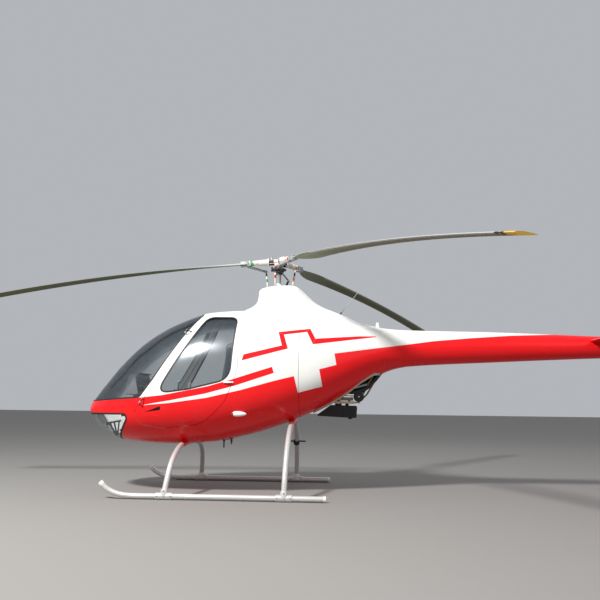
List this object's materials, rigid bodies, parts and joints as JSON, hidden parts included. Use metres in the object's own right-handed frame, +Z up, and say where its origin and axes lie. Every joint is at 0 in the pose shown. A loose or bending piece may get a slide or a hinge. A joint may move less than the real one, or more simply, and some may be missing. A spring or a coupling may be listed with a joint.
{
  "type": "light two-seat helicopter with ducted tail rotor",
  "caption": "Light helicopter on skids: rounded glazed cabin with hinged doors, three-blade main rotor, tail boom and ducted tail rotor.",
  "frame": {"origin": "on the ground under the middle of the whole length, on the plane of symmetry", "axes": "+X towards the tail, +Y to starboard, +Z up"},
  "size_m": [8.0225, 6.3246, 2.37],
  "materials": {
    "body_paint_red": "gloss paint, red below and white above",
    "body_paint_white": "gloss paint",
    "boom_paint": "gloss paint, red below and white above",
    "glazing": "lightly tinted acrylic",
    "blade_paint": "satin, olive grey below and light grey above",
    "gear_paint": "silver-white paint",
    "rotor_metal": "machined, partly painted white",
    "engine_metal": "dark cast metal",
    "silencer_black": "matt heat-proof paint",
    "black_plastic": "fine grain",
    "grey_trim": "textured",
    "seat_cloth": "woven",
    "lamp_lens": "clear lens in a white housing"
  },
  "bodies": {
    "airframe": {"cabin_hull": "body_paint_red", "engine_cowl": "body_paint_red", "mast_fairing": "body_paint_white", "windscreen": "glazing", "chin_window_left": "glazing", "chin_window_right": "glazing", "cabin_floor": "grey_trim", "instrument_console": "black_plastic", "flight_controls": "black_plastic", "collective_lever": "black_plastic", "seat_base": "grey_trim", "seat_cushion_left": "seat_cloth", "seat_cushion_right": "seat_cloth", "engine_block": "engine_metal", "engine_mounts": "engine_metal", "silencer": "silencer_black", "air_duct": "black_plastic", "tail_boom": "boom_paint", "tail_fin": "body_paint_red", "tail_gearbox": "gear_paint", "tail_bumper": "black_plastic", "tail_lamp": "lamp_lens", "stabiliser_left": "body_paint_white", "stabiliser_right": "body_paint_white", "cross_tube_front": "gear_paint", "cross_tube_rear": "gear_paint", "skid_left": "gear_paint", "skid_right": "gear_paint", "leg_step": "black_plastic", "landing_lamp": "lamp_lens", "position_lamp_left": "lamp_lens", "position_lamp_right": "lamp_lens", "whip_antenna": "gear_paint", "spine_antenna": "body_paint_white", "belly_antennas": "black_plastic"},
    "main_rotor": {"rotor_mast": "rotor_metal", "rotor_hub": "rotor_metal", "swashplate": "rotor_metal", "blade_1": "blade_paint", "blade_2": "blade_paint", "blade_3": "blade_paint", "blade_grip_1": "rotor_metal", "blade_grip_2": "rotor_metal", "blade_grip_3": "rotor_metal", "pitch_link_1": "rotor_metal", "pitch_link_2": "rotor_metal", "pitch_link_3": "rotor_metal"},
    "tail_rotor": {"tail_rotor": "black_plastic"},
    "door_left": {"door_left": "body_paint_red", "door_window_left": "glazing", "door_handle_left": "body_paint_white"},
    "door_right": {"door_right": "body_paint_red", "door_window_right": "glazing", "door_handle_right": "body_paint_white"}
  },
  "joints": [
    {"name": "main_rotor_spin", "type": "hinge", "parent": "airframe", "child": "main_rotor", "pos_m": [-0.41, 0, 2.2], "axis": [0, 0, 1], "continuous": true},
    {"name": "tail_rotor_spin", "type": "hinge", "parent": "airframe", "child": "tail_rotor", "pos_m": [3.54, 0, 1.43], "axis": [0, 1, 0], "continuous": true},
    {"name": "door_left_hinge", "type": "hinge", "parent": "airframe", "child": "door_left", "pos_m": [-1.647, -0.622, 0.839], "axis": [-0.4834, -0.176, -0.8575], "range_deg": [0, 70]},
    {"name": "door_right_hinge", "type": "hinge", "parent": "airframe", "child": "door_right", "pos_m": [-1.647, 0.622, 0.839], "axis": [0.4834, -0.176, 0.8575], "range_deg": [0, 70]}
  ]
}
